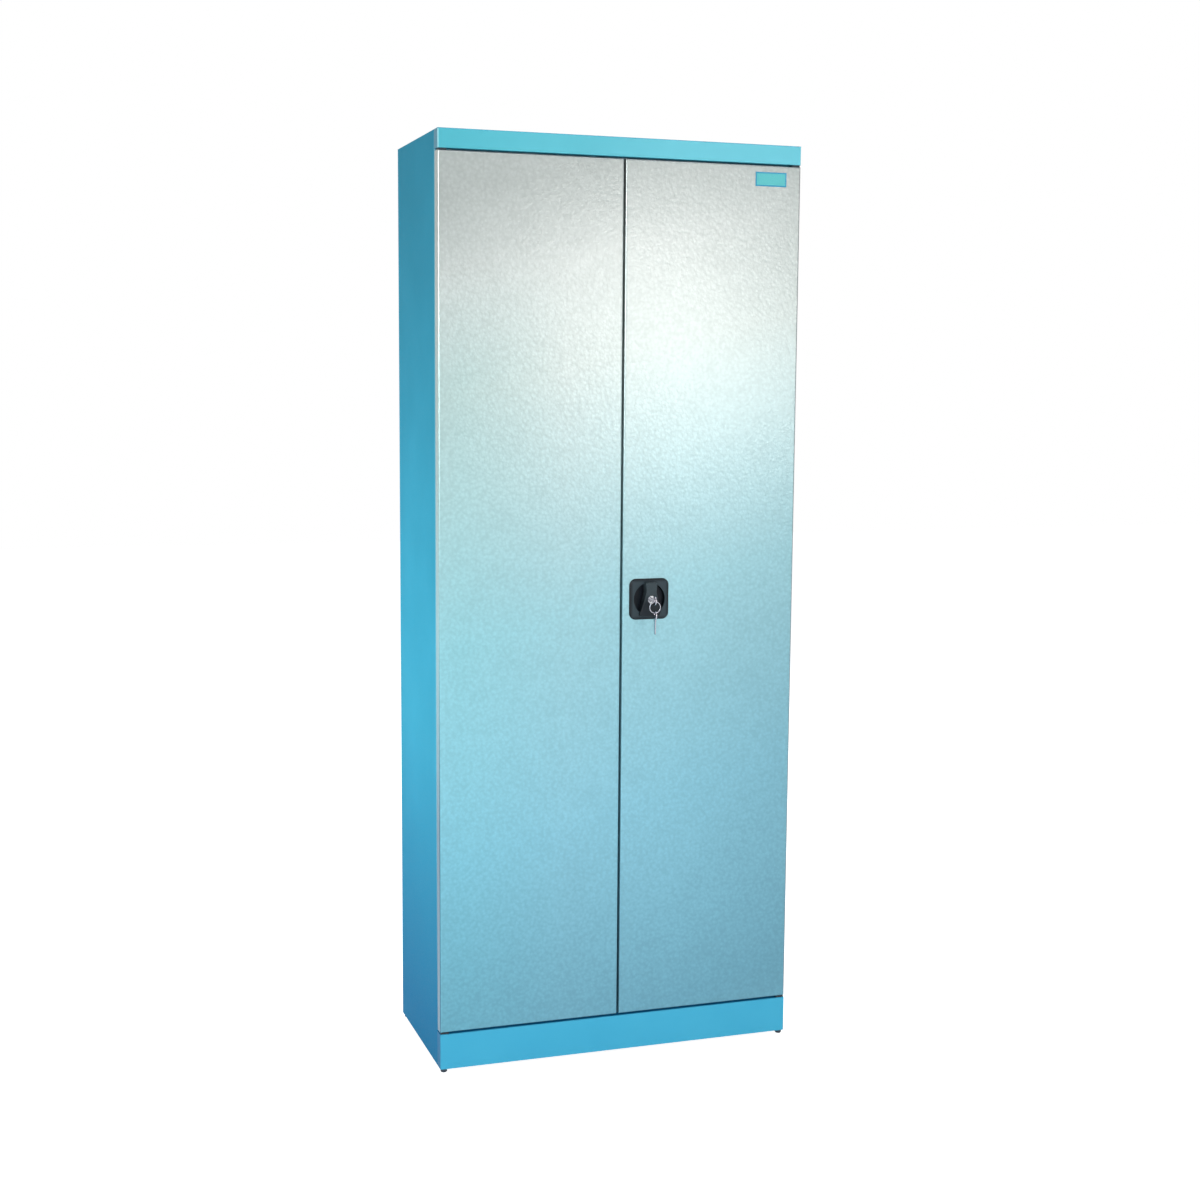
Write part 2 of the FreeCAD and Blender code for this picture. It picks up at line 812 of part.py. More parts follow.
def corner_plate(name, side, near_y, far_y, glide_x, glide_y):
    """A plate welded across the bottom of the side panel, with the hole for the glide's shank."""
    body = new_body(name)
    outline = box_loop(side * inner_half, near_y, side * (inner_half - s.corner_plate_length), far_y)
    shank = s.glide_shank_half
    hole = box_loop(glide_x - shank, glide_y - shank, glide_x + shank, glide_y + shank)
    pad(body, "XY_Plane", s.foot_height, s.corner_plate_thickness, outline, hole)


for side_name, side in (("left", -1), ("right", 1)):
    glide_x = side * (half - s.glide_inset)
    near_y = front + s.carcass_sheet
    glide_y = front + s.glide_inset
    glide(f"glide_{side_name}_front", glide_x, glide_y)
    corner_plate(f"corner_plate_{side_name}_front", side, near_y, frame_front, glide_x, glide_y)
    far_y = back_panel_front
    glide_y = back_panel_front - s.glide_inset
    glide(f"glide_{side_name}_rear", glide_x, glide_y)
    rear_near = far_y - s.corner_plate_width
    corner_plate(f"corner_plate_{side_name}_rear", side, rear_near, far_y, glide_x, glide_y)


# Door pivots
def pivot_pin(name, x, z, turn):
    """A steel stud welded to the frame's flange; it points into the door."""
    body = new_body(name)
    put(body, x, pivot_y, z, turn)
    reach = s.door_gap + s.door_sheet + s.pin_reach
    pad(body, "XY_Plane", -reach, reach, Ring(0, 0, s.pin_radius))
    return body


def pivot_bush(name, x, z, turn):
    """A square nylon bush in the door's folded edge; its flange carries the door on the frame."""
    body = new_body(name)
    put(body, x, pivot_y, z, turn)
    bore = Ring(0, 0, s.pin_radius + s.running_gap)
    shank, brim = s.bush_half, s.bush_flange_half
    pad(body, "XY_Plane", -s.bush_length, s.bush_length, box_loop(-shank, -shank, shank, shank), bore)
    pad(body, "XY_Plane", 0, s.door_gap - s.seat_gap, box_loop(-brim, -brim, brim, brim), bore)
    return body


pins = []
for side_name, side in (("left", -1), ("right", 1)):
    pins.append(pivot_pin(f"pin_{side_name}_top", side * pivot_x, header_bottom, UPRIGHT))
    pins.append(pivot_pin(f"pin_{side_name}_bottom", side * pivot_x, plinth_top, UPSIDE_DOWN))
    top_bush = pivot_bush(f"bush_{side_name}_top", side * pivot_x, door_top, UPRIGHT)
    bottom_bush = pivot_bush(f"bush_{side_name}_bottom", side * pivot_x, door_bottom, UPSIDE_DOWN)
    gather(f"{side_name}_door_bushes", [top_bush, bottom_bush])
gather("pivot_pins", pins)


# Door buffers
def buffer(name, x, z):
    """A square rubber pad on the frame's stop, just short of the door's inner lip."""
    body = new_body(name)
    put(body, x, frame_front, z, FACING_OUT)
    reach = s.buffer_half
    pad(body, "XY_Plane", 0, s.door_back_gap - s.seat_gap, box_loop(-reach, -reach, reach, reach))
    return body


upper_buffer_z = header_bottom + s.carcass_sheet - s.upper_stop_reach + s.buffer_half
lower_buffer_z = plinth_top + s.lower_stop_reach - s.buffer_half
buffers = []
for side_name, side in (("left", -1), ("right", 1)):
    buffers.append(buffer(f"buffer_{side_name}_top", side * s.buffer_offset, upper_buffer_z))
    buffers.append(buffer(f"buffer_{side_name}_bottom", side * s.buffer_offset, lower_buffer_z))
gather("door_buffers", buffers)


# Doors
def door_edge_loops(side):
    """The bush hole and the rod slot in a door's folded top or bottom edge."""
    rod_y = front - rod_middle
    reach_x = s.rod_half + s.rod_play
    reach_y = s.rod_thickness / 2 + s.rod_play
    rod_x = side * s.lock_offset
    bush_x, bush_reach = side * pivot_x, s.bush_half
    return [
        box_loop(bush_x - bush_reach, pivot_y - bush_reach, bush_x + bush_reach, pivot_y + bush_reach),
        box_loop(rod_x - reach_x, rod_y - reach_y, rod_x + reach_x, rod_y + reach_y),
    ]


def pan_edges(edges, inset):
    """The lines round the door's face where it is bent back, on its outside or its inside."""
    return [
        {"x": edges[0] + inset, "y": front + inset},
        {"x": edges[1] - inset, "y": front + inset},
        {"y": front + inset, "z": door_bottom + inset},
        {"y": front + inset, "z": door_top - inset},
    ]


def door_panel(name, side):
    """A folded pan with soft bends round its face."""
    body = new_body(name)
    edges = sorted((side * half, side * door_inner_edge), key=number_of)
    corner = (edges[0], door_bottom)
    far_corner = (edges[1], door_top)
    tray(body, "XZ_Plane", front, corner, far_corner, s.door_thickness, s.door_sheet, s.door_lip)
    cut = s.door_sheet + 2 * s.overrun
    pocket(body, "XY_Plane", door_top - s.door_sheet - s.overrun, cut, *door_edge_loops(side))
    last = pocket(body, "XY_Plane", door_bottom - s.overrun, cut, *door_edge_loops(side))
    if side > 0:
        reach = cup_half + s.seat_gap
        x, z = s.lock_offset, s.lock_height
        lock_hole = box_loop(x - reach, z - reach, x + reach, z + reach)
        last = pocket(body, "XZ_Plane", front - s.overrun, cut, lock_hole)
    outside = soften(body, last, s.door_bend, pan_edges(edges, 0))
    soften(body, outside, s.door_bend - s.door_sheet, pan_edges(edges, s.door_sheet))


def door_stiffener(name, side):
    """A hat channel welded upright to the inside of the door's face."""
    body = new_body(name)
    middle = side * (half + door_inner_edge) / 2
    section = hat_loop(middle, front + s.door_sheet, s.stiffener_width / 2, s.stiffener_brim,
                       s.stiffener_depth, s.door_sheet)
    low = door_bottom + s.stiffener_end_gap
    pad(body, "XY_Plane", low, door_top - s.stiffener_end_gap - low, section)


for side_name, side in (("left", -1), ("right", 1)):
    door_panel(f"{side_name}_door_panel", side)
    door_stiffener(f"{side_name}_door_stiffener", side)


# Guides for rods and bolts
def rod_guide(name, x, z):
    """A hat bracket on the door's inner face; the flat rod slides between its legs."""
    body = new_body(name)
    half_width = s.rod_half + s.rod_play + s.guide_sheet
    rise = -rod_back - s.door_sheet + s.rod_play + s.guide_sheet
    section = hat_loop(x, front + s.door_sheet, half_width, s.guide_brim, rise, s.guide_sheet)
    pad(body, "XY_Plane", z - s.guide_height / 2, s.guide_height, section)
    return body


lock_guides = [
    rod_guide("guide_upper_first", s.lock_offset, s.lock_height + s.guide_first),
    rod_guide("guide_upper_last", s.lock_offset, door_top - s.guide_end_gap),
    rod_guide("guide_lower_first", s.lock_offset, s.lock_height - s.guide_first),
    rod_guide("guide_lower_last", s.lock_offset, door_bottom + s.guide_end_gap),
]
gather("rod_guides", lock_guides)
bolt_guides = [
    rod_guide("bolt_guide_top", -s.lock_offset, door_top - s.bolt_guide_set),
    rod_guide("bolt_guide_bottom", -s.lock_offset, door_bottom + s.bolt_guide_set),
]
gather("bolt_guides", bolt_guides)


# Left door's sliding bolts
def sliding_bolt(name, edge_z, way):
    """A flat bolt whose tail is bent into a finger tab."""
    body = new_body(name)
    x0, x1 = -s.lock_offset - s.rod_half, -s.lock_offset + s.rod_half
    tail = edge_z - way * s.bolt_length
    shoulder = edge_z - way * s.rod_tip
    outline = [
        (x0, tail),
        (x1, tail),
        (x1, shoulder),
        (x1 - s.rod_tip, edge_z),
        (x0 + s.rod_tip, edge_z),
        (x0, shoulder),
    ]
    pad(body, "XZ_Plane", front - rod_front, s.rod_thickness, outline)
    tab = box_loop(x0, tail, x1, tail + way * s.bolt_tab_thickness)
    pad(body, "XZ_Plane", front - rod_back, s.bolt_tab_reach, tab)


sliding_bolt("left_upper_bolt", door_top, 1)
sliding_bolt("left_lower_bolt", door_bottom, -1)


# Lock: drawn as seen from the front, with its own Z axis pointing out of the door
def lock_body(name):
    body = new_body(name)
    put(body, s.lock_offset, front, s.lock_height, FACING_OUT)
    return body


def lock_housing():
    """The square plate with its body behind the door and its round dish, moulded in one piece."""
    body = lock_body("lock_housing")
    reach = cup_half
    cup = pad(body, "XY_Plane", cup_back, -cup_back, box_loop(-reach, -reach, reach, reach))
    chamfer(body, cup, s.cup_corner, square_corners(reach, reach))
    x, y = s.plate_width / 2, s.plate_height / 2
    plate = pad(body, "XY_Plane", 0, s.plate_thickness, box_loop(-x, -y, x, y))
    rounded = soften(body, plate, s.plate_corner, square_corners(x, y))
    chamfer(body, rounded, s.plate_edge, [{"z": s.plate_thickness}])
    pocket(body, "XY_Plane", dish_bottom, s.dish_depth + s.overrun, Ring(0, 0, s.dish_radius))
    bore = s.hub_radius + s.running_gap
    pocket(body, "XY_Plane", cup_back - s.overrun, s.dish_floor + 2 * s.overrun, Ring(0, 0, bore))


def lock_retainer():
    """The frame that clamps the housing from inside the door."""
    body = lock_body("lock_retainer")
    inner = cup_half + s.seat_gap
    reach = cup_half + s.retainer_overhang
    level = -s.door_sheet - s.retainer_thickness
    outline = box_loop(-reach, -reach, reach, reach)
    pad(body, "XY_Plane", level, s.retainer_thickness, outline, box_loop(-inner, -inner, inner, inner))


def turn_handle():
    """A disc that fills the dish and a waisted grip, whose lower half slopes back to its foot."""
    body = lock_body("turn_handle")
    disc_low = dish_bottom + s.seat_gap
    disc = s.dish_radius - s.handle_disc_gap
    outline = [
        (-s.grip_foot_half, -s.grip_foot, s.grip_foot_bow),
        (s.grip_foot_half, -s.grip_foot),
        (s.grip_waist_half, s.grip_waist),
        (s.grip_top_half, s.grip_top, s.grip_crown),
        (-s.grip_top_half, s.grip_top),
        (-s.grip_waist_half, s.grip_waist),
    ]
    grip = pad(body, "XY_Plane", disc_low, s.grip_reach - disc_low, outline)
    ends = [{"x": side * s.grip_foot_half, "y": -s.grip_foot} for side in (-1, 1)]
    ends += [{"x": side * s.grip_top_half, "y": s.grip_top} for side in (-1, 1)]
    cornered = soften(body, grip, s.grip_corner, ends)
    waist = [{"x": side * s.grip_waist_half, "y": s.grip_waist} for side in (-1, 1)]
    soften(body, cornered, s.grip_waist_round, waist)

    above = s.grip_reach + s.overrun
    beyond = s.grip_foot + s.grip_foot_bow + s.overrun
    fall = s.grip_slope * (s.grip_ridge + beyond) / (s.grip_ridge + s.grip_foot)
    slope = [
        (s.grip_ridge, s.grip_reach),
        (s.grip_ridge, above),
        (-beyond, above),
        (-beyond, s.grip_reach - fall),
    ]
    side_reach = s.grip_foot_half + s.overrun
    sloped = pocket(body, "YZ_Plane", -side_reach, 2 * side_reach, slope)
    chamfer_front(body, sloped, s.grip_edge)

    rim = s.plate_thickness + s.grip_plate_gap
    outside = s.grip_foot + s.grip_foot_half
    undercut = rim - disc_low + s.overrun
    pocket(body, "XY_Plane", disc_low - s.overrun, undercut, Ring(0, 0, outside), Ring(0, 0, disc))
    pad(body, "XY_Plane", disc_low, s.handle_disc_height, Ring(0, 0, disc))
    depth = s.grip_reach + s.barrel_end
    pocket(body, "XY_Plane", -s.barrel_end, depth, Ring(0, 0, s.barrel_radius))


def lock_spindle():
    """The steel hub behind the handle, its square for the cam and the end screw."""
    body = new_body("lock_spindle")
    put(body, s.lock_offset, front, s.lock_height, CAM_AT_REST)
    hub_top = dish_bottom + s.seat_gap
    pad(body, "XY_Plane", cup_back - s.cam_gap, hub_top - cup_back + s.cam_gap, Ring(0, 0, s.hub_radius))
    reach = s.spindle_half
    pad(body, "XY_Plane", cam_back, s.cam_thickness, box_loop(-reach, -reach, reach, reach))
    head = polygon(HEXAGON_SIDE_COUNT, s.cam_screw_radius)
    pad(body, "XY_Plane", cam_back - s.cam_screw_head, s.cam_screw_head, head)


def cam_plate():
    """A bar with a drive pin at each end, turned to its unlocked angle."""
    body = new_body("cam_plate")
    put(body, s.lock_offset, front, s.lock_height, CAM_AT_REST)
    tip = s.cam_pin_reach + s.cam_lobe
    square = s.spindle_half
    outline = box_loop(-tip, -s.cam_lobe, tip, s.cam_lobe)
    hole = box_loop(-square, -square, square, square)
    bar = pad(body, "XY_Plane", cam_back, s.cam_thickness, outline, hole)
    chamfer(body, bar, s.cam_corner, square_corners(tip, s.cam_lobe))
    pin_length = s.cam_gap + s.rod_thickness + s.cam_gap
    pins = [Ring(side * s.cam_pin_reach, 0, s.cam_pin_radius) for side in (-1, 1)]
    pad(body, "XY_Plane", cam_back - pin_length, pin_length, *pins)


def locking_rod(name, way, edge_z):
    """A flat rod with a slotted foot beside the lock's axis; the cam's pin moves it."""
    body = lock_body(name)
    pin_x = s.cam_pin_reach * PIN_SIDE_SHARE
    slot_middle = -s.cam_pin_reach * PIN_RISE_SHARE
    slot_low = slot_middle - s.cam_pin_radius - s.rod_slot_play
    slot_high = slot_middle + s.cam_pin_radius + s.rod_slot_play
    slot_inner = pin_x - s.cam_pin_radius - s.rod_slot_end_play
    slot_outer = s.cam_pin_reach + s.cam_pin_radius + s.rod_slot_end_play
    foot_inner = s.cam_screw_radius + 2 * s.rod_slot_play
    foot_outer = slot_outer + s.rod_foot_wall
    foot_low = slot_low - s.rod_foot_wall
    neck_low = s.rod_neck
    neck_high = s.rod_neck + s.rod_neck_height
    tip = way * (edge_z - s.lock_height)
    outline = [
        (foot_inner, foot_low),
        (foot_outer, foot_low),
        (foot_outer, neck_low),
        (s.rod_half, neck_high),
        (s.rod_half, tip - s.rod_tip),
        (s.rod_half - s.rod_tip, tip),
        (s.rod_tip - s.rod_half, tip),
        (-s.rod_half, tip - s.rod_tip),
        (-s.rod_half, neck_low),
        (foot_inner, neck_low),
    ]
    slot = box_loop(slot_inner, slot_low, slot_outer, slot_high)
    turned = [[(way * x, way * y) for x, y in loop] for loop in (outline, slot)]
    pad(body, "XY_Plane", rod_back, s.rod_thickness, *turned)


def lock_barrel():
    """The plated cylinder in the handle."""
    body = lock_body("lock_barrel")
    bore = s.plug_radius + s.running_gap
    length = s.barrel_end + s.barrel_face
    pad(body, "XY_Plane", -s.barrel_end, length, Ring(0, 0, s.barrel_radius), Ring(0, 0, bore))


def key_plug():
    """The core that turns in the barrel; its keyway stands upright."""
    body = lock_body("key_plug")
    low = s.seat_gap - s.barrel_end
    pad(body, "XY_Plane", low, s.barrel_face - low, Ring(0, 0, s.plug_radius))
    x = s.key_thickness / 2 + s.key_side_gap
    y = s.key_blade_half + s.key_side_gap
    tip = s.key_front - 2 * s.key_bow_radius - s.key_neck - s.key_blade_length
    bottom = tip - s.key_side_gap
    pocket(body, "XY_Plane", bottom, s.barrel_face - bottom + s.overrun, box_loop(-x, -y, x, y))


def key(name, x, y, z, turn):
    """A flat key drawn in its own upright plane, blade down, with its hole at the origin."""
    body = new_body(name)
    put(body, x, y, z, turn)
    bow_top = s.key_hole_edge
    bow_middle = bow_top - s.key_bow_radius
    bow_low = bow_middle - s.key_bow_radius
    shoulder = bow_low - s.key_neck
    tip = shoulder - s.key_blade_length
    blade = s.key_blade_half
    thickness = s.key_thickness
    level = -thickness / 2
    bow = Ring(0, bow_middle, s.key_bow_radius)
    pad(body, "YZ_Plane", level, thickness, bow, Ring(0, 0, s.key_hole_radius))
    neck_top = (bow_middle + bow_low) / 2
    neck = box_loop(-s.key_shoulder_half, shoulder, s.key_shoulder_half, neck_top)
    pad(body, "YZ_Plane", level, thickness, neck)
    point = blade / 2
    edge = [(-blade, shoulder), (-blade, tip + point), (-point, tip), (point, tip), (blade, tip + point)]
    step = (s.key_blade_length - 2 * point) / s.key_cut_count
    cuts = []
    for number in range(int(s.key_cut_count.number)):
        low = tip + point + step * number
        cut_depth = s.key_cut * CUT_DEPTH_SHARES[number % len(CUT_DEPTH_SHARES)]
        cuts.append((blade - cut_depth, low + step / 2))
        cuts.append((blade, low + step))
    pad(body, "YZ_Plane", level, thickness, edge + cuts[:-1] + [(blade, shoulder)])


def key_ring():
    """A ring of flat wire that hangs in the key's hole and carries the spare key."""
    body = new_body("key_ring")
    put(body, s.lock_offset, front - hole_reach, ring_z, FACING_OUT)
    wire = s.ring_wire_half
    revolve(body, box_loop(s.ring_radius - wire, -wire, s.ring_radius + wire, wire))


hang = s.key_hole_radius - s.ring_wire_half - s.seat_gap
ring_z = s.lock_height - hang - s.ring_radius
spare_z = ring_z - s.ring_radius - hang

lock_housing()
lock_retainer()
turn_handle()
lock_spindle()
cam_plate()
locking_rod("upper_rod", 1, door_top)
locking_rod("lower_rod", -1, door_bottom)
lock_barrel()
key_plug()
key("door_key", s.lock_offset, front - hole_reach, s.lock_height, FACING_OUT)
key_ring()
key("spare_key", s.lock_offset, front - hole_reach, spare_z, UPRIGHT)

# Checks, then one file for each sub-part
document.recompute()
for thing in document.Objects:
    if "Invalid" in thing.State or "Error" in thing.State:
        raise RuntimeError(f"{thing.Label} failed: {thing.State}")
    if thing.TypeId == "PartDesign::Pocket" and thing.Shape.Volume >= thing.BaseFeature.Shape.Volume:
        raise RuntimeError(f"{thing.Label} cuts nothing")
for piece in sub_parts:
    if piece.Shape.isNull() or not piece.Shape.isValid():
        raise RuntimeError(f"{piece.Label} has no valid shape")
os.makedirs("parts", exist_ok=True)
for piece in sub_parts:
    piece.Shape.exportStep(f"parts/{piece.Label}.step")
print(f"{len(sub_parts)} sub-parts written")
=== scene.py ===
"""Tool cabinet with two doors: its finishes, small trim, lights and camera."""

import json
import math

import bmesh
import bpy
from mathutils import Matrix, Quaternion, Vector


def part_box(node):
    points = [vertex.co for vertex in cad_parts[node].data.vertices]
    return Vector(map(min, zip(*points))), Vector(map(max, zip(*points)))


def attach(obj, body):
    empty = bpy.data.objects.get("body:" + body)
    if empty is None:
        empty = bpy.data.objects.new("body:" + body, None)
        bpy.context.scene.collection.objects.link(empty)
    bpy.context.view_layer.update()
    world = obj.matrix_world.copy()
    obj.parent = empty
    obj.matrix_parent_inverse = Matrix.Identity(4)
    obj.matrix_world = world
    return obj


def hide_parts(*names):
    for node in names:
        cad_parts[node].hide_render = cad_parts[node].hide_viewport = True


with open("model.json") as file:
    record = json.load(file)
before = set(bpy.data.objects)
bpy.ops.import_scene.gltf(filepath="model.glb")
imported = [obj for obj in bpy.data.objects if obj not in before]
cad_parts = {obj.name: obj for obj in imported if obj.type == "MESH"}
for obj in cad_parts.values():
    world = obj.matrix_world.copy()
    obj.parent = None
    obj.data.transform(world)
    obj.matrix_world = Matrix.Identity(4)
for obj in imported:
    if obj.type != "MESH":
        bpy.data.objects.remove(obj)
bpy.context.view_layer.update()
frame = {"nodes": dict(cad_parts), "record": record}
nodes = frame["nodes"]

MM = 0.001


# Colours and shader nodes
def linear(code):
    """An sRGB hex colour as linear RGBA."""
    values = [int(code[i:i + 2], 16) / 255 for i in (1, 3, 5)]
    return tuple(v / 12.92 if v <= 0.04045 else ((v + 0.055) / 1.055) ** 2.4 for v in values) + (1.0,)


def per_mm(size):
    """The texture scale that makes one feature this many millimetres wide."""
    return 1 / (size * MM)


def add(tree, kind, settings=(), links=()):
    """Adds a shader node.

    Settings name a property, an input or the stops of a ramp. Links name an input and its source.
    """
    node = tree.nodes.new(kind)
    for name, value in dict(settings).items():
        if name == "stops":
            while len(node.color_ramp.elements) < len(value):
                node.color_ramp.elements.new(0.5)
            for element, (position, code) in zip(node.color_ramp.elements, value):
                element.position = position
                element.color = linear(code)
        elif hasattr(node, str(name)):
            setattr(node, name, value)
        else:
            node.inputs[name].default_value = value
    for name, source in dict(links).items():
        tree.links.new(source, node.inputs[name])
    return node


def new_finish(name, shader_settings):
    """A material with its surface shader and its place in the cabinet's own coordinates."""
    material = bpy.data.materials.new(name)
    material.use_nodes = True
    tree = material.node_tree
    tree.nodes.clear()
    shader = add(tree, "ShaderNodeBsdfPrincipled", shader_settings)
    add(tree, "ShaderNodeOutputMaterial", {}, {"Surface": shader.outputs["BSDF"]})
    place = add(tree, "ShaderNodeTexCoord").outputs["Object"]
    return material, tree, shader, place


# The values between which nearly all of a cloudy pattern lies
PATTERN_LOW, PATTERN_HIGH = 0.3, 0.7

# The sockets of a colour mix
MIX_SHARE, MIX_FIRST, MIX_SECOND, MIX_RESULT = 0, 6, 7, 2


def share_passed(tree, operation, *ranges):
    """How far the ranges are passed, joined into one share by a maths operation.

    A range is a socket, the values at which it starts and ends, and the share that it gives beyond its end.
    """
    joined = None
    for source, start, end, most in ranges:
        span = {"From Min": start, "From Max": end, "To Max": most}
        passed = add(tree, "ShaderNodeMapRange", span, {"Value": source}).outputs["Result"]
        if joined is not None:
            both = add(tree, "ShaderNodeMath", {"operation": operation}, {0: joined, 1: passed})
            passed = both.outputs["Value"]
        joined = passed
    return joined


def tinted(tree, tone, shade, *ranges):
    """Blends a tone into another shade, a socket or a hex code, where every one of the ranges is passed."""
    settings = {"data_type": "RGBA"}
    links = {MIX_SHARE: share_passed(tree, "MULTIPLY", *ranges), MIX_FIRST: tone}
    if isinstance(shade, str):
        settings[MIX_SECOND] = linear(shade)
    else:
        links[MIX_SECOND] = shade
    return add(tree, "ShaderNodeMix", settings, links).outputs[MIX_RESULT]


def give_surface(tree, shader, gloss, roughness, height, depth, strength):
    """Lets one pattern vary the roughness between two values, and one stand out by a depth in millimetres."""
    span = {"From Min": PATTERN_LOW, "From Max": PATTERN_HIGH, "To Min": roughness[0], "To Max": roughness[1]}
    varied = add(tree, "ShaderNodeMapRange", span, {"Value": gloss}).outputs["Result"]
    tree.links.new(varied, shader.inputs["Roughness"])
    relief = {"Strength": strength, "Distance": depth * MM}
    normal = add(tree, "ShaderNodeBump", relief, {"Height": height}).outputs["Normal"]
    tree.links.new(normal, shader.inputs["Normal"])


# Finishes, each named for the real material and how it was made, with the sizes of their patterns in
# millimetres. Flake, mould grain and scratches are finer on the real parts, and drawn coarse enough to show.
FILM_CLOUD = 140
ORANGE_PEEL = 2.4
HAMMER_DIMPLE = 7
HAMMER_CLOUD = 55
FLAKE_PATCH = 3
MOULD_GRAIN = 0.7
HANDLING_WEAR = 30


def polyester_powder_coat(name, shade, dark_shade, light_shade, sheen=0.03, painted_light_runs=()):
    """Baked powder paint: nearly matt, with a fine orange peel and a slightly uneven film.

    A painted light run is an axis, two places on it between which a painted light or shade sets in, and the
    tone beyond.
    """
    settings = {"Roughness": 0.45, "IOR": 1.5, "Specular IOR Level": sheen}
    material, tree, shader, place = new_finish(name, settings)
    axes = add(tree, "ShaderNodeSeparateXYZ", {}, {"Vector": place}).outputs
    film = add(tree, "ShaderNodeTexNoise", {"Scale": per_mm(FILM_CLOUD), "Detail": 3, "Roughness": 0.5},
               {"Vector": place}).outputs["Fac"]
    stops = ((0.2, dark_shade), (0.5, shade), (0.8, light_shade))
    tone = add(tree, "ShaderNodeValToRGB", {"stops": stops}, {"Fac": film}).outputs["Color"]
    # Light and shade painted into the coat, one run after the other
    for axis, start, end, painted_tone in painted_light_runs:
        tone = tinted(tree, tone, painted_tone, (axes[axis], start, end, 1.0))
    tree.links.new(tone, shader.inputs["Base Color"])
    peel = add(tree, "ShaderNodeTexNoise", {"Scale": per_mm(ORANGE_PEEL), "Detail": 3, "Roughness": 0.55},
               {"Vector": place}).outputs["Fac"]
    give_surface(tree, shader, peel, (0.4, 0.52), peel, depth=0.3, strength=0.6)
    return material


# The run of tone from the foot of the doors to their top, and the heights of its two ends in metres. The run
# is a painted reflection over the doors' silver: bluer towards the foot, greyer towards the top.
# It leans: for each metre to the right it lies this much higher.
DOOR_TONES_AND_PAINTED_REFLECTION = ((0.0, "#6398AB"), (0.25, "#7AB0C1"), (0.5, "#91BEC7"), (0.66, "#A8C2C4"), (0.78, "#B0BEBC"),
              (0.9, "#B4BEBC"), (1.0, "#A3ACAA"))
RUN_FOOT, RUN_TOP, RUN_LEAN = 0.08, 1.86, 0.25
# Painted shade: the right door's outer fold drawn darker
OUTER_FOLD_PAINTED_SHADE = "#7F8486"
# Painted shade of the gap beside the left door, over its outer fold in the lower half
TURNED_IN_PAINTED_SHADE = "#1F627D"
# Painted reflection: the left half of the doors is made less red, bluer, below the top
LESS_RED = (0.83, 0.99, 1.0)
DIMPLE_SHARE = 0.6


def door_tone(tree, axes):
    """The doors' tone: painted reflection up them and on their left half, painted shade on their outer folds.
    """
    left_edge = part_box("left_door_panel")[0].x
    right_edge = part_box("right_door_panel")[1].x
    leaning = {"operation": "MULTIPLY_ADD", 1: -RUN_LEAN}
    height = add(tree, "ShaderNodeMath", leaning, {0: axes["X"], 2: axes["Z"]}).outputs["Value"]
    up = share_passed(tree, "MULTIPLY", (height, RUN_FOOT, RUN_TOP, 1.0))
    tone = add(tree, "ShaderNodeValToRGB", {"stops": DOOR_TONES_AND_PAINTED_REFLECTION}, {"Fac": up}).outputs["Color"]
    # Painted shade over the right door's outer fold
    outer_fold_shade = (axes["X"], right_edge - 4 * MM, right_edge - 1 * MM, 1.0)
    tone = tinted(tree, tone, OUTER_FOLD_PAINTED_SHADE, outer_fold_shade)
    # Painted shade of the gap beside the left door, over its outer fold in the lower half
    turned_in = (axes["X"], left_edge + 1.5 * MM, left_edge + 0.5 * MM, 1.0)
    low_down = (axes["Z"], 0.9, 0.5, 1.0)
    tone = tinted(tree, tone, TURNED_IN_PAINTED_SHADE, turned_in, low_down)
    # Painted reflection: the left half of the doors made bluer below the top
    bluer = add(tree, "ShaderNodeVectorMath", {"operation": "MULTIPLY", 1: LESS_RED}, {0: tone})
    outer_half = (axes["X"], -0.12, -0.34, 0.85)
    below_top = (up, 0.92, 0.8, 1.0)
    return tinted(tree, tone, bluer.outputs["Vector"], outer_half, below_top)


def silver_hammertone(name):
    """Hammertone paint: aluminium flake in clear resin, drawn into small shallow dimples."""
    material, tree, shader, place = new_finish(name, {"Metallic": 0.6, "Roughness": 0.33})
    axes = add(tree, "ShaderNodeSeparateXYZ", {}, {"Vector": place}).outputs
    rounded = {"feature": "SMOOTH_F1", "Scale": per_mm(HAMMER_DIMPLE), "Smoothness": 0.6}
    dimples = add(tree, "ShaderNodeTexVoronoi", rounded, {"Vector": place}).outputs["Distance"]
    swirl, cloud, flake = [
        add(tree, "ShaderNodeTexNoise", {"Scale": per_mm(size), "Detail": detail, "Roughness": 0.6},
            {"Vector": place}).outputs["Fac"]
        for size, detail in ((HAMMER_DIMPLE, 2), (HAMMER_CLOUD, 3), (FLAKE_PATCH, 3))]
    swirled = {"operation": "MULTIPLY_ADD", 1: DIMPLE_SHARE}
    hammer = add(tree, "ShaderNodeMath", swirled, {0: dimples, 2: swirl}).outputs["Value"]
    tone = door_tone(tree, axes)
    # The rims of the dimples and the clouds of thin flake are darker, and the outer part of the right door is
    # darker as painted shade
    right_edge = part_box("right_door_panel")[1].x
    for source, low, high, low_light, high_light in ((hammer, 0.5, 1.0, 1.07, 0.93),
                                                     (cloud, PATTERN_LOW, PATTERN_HIGH, 0.98, 1.02),
                                                     (axes["X"], 0.12, right_edge, 1.0, 0.88)):
        span = {"From Min": low, "From Max": high, "To Min": low_light, "To Max": high_light}
        light = add(tree, "ShaderNodeMapRange", span, {"Value": source}).outputs["Result"]
        scaled = add(tree, "ShaderNodeVectorMath", {"operation": "SCALE"}, {"Vector": tone, "Scale": light})
        tone = scaled.outputs["Vector"]
    tree.links.new(tone, shader.inputs["Base Color"])
    give_surface(tree, shader, flake, (0.29, 0.36), hammer, depth=0.5, strength=0.5)
    return material


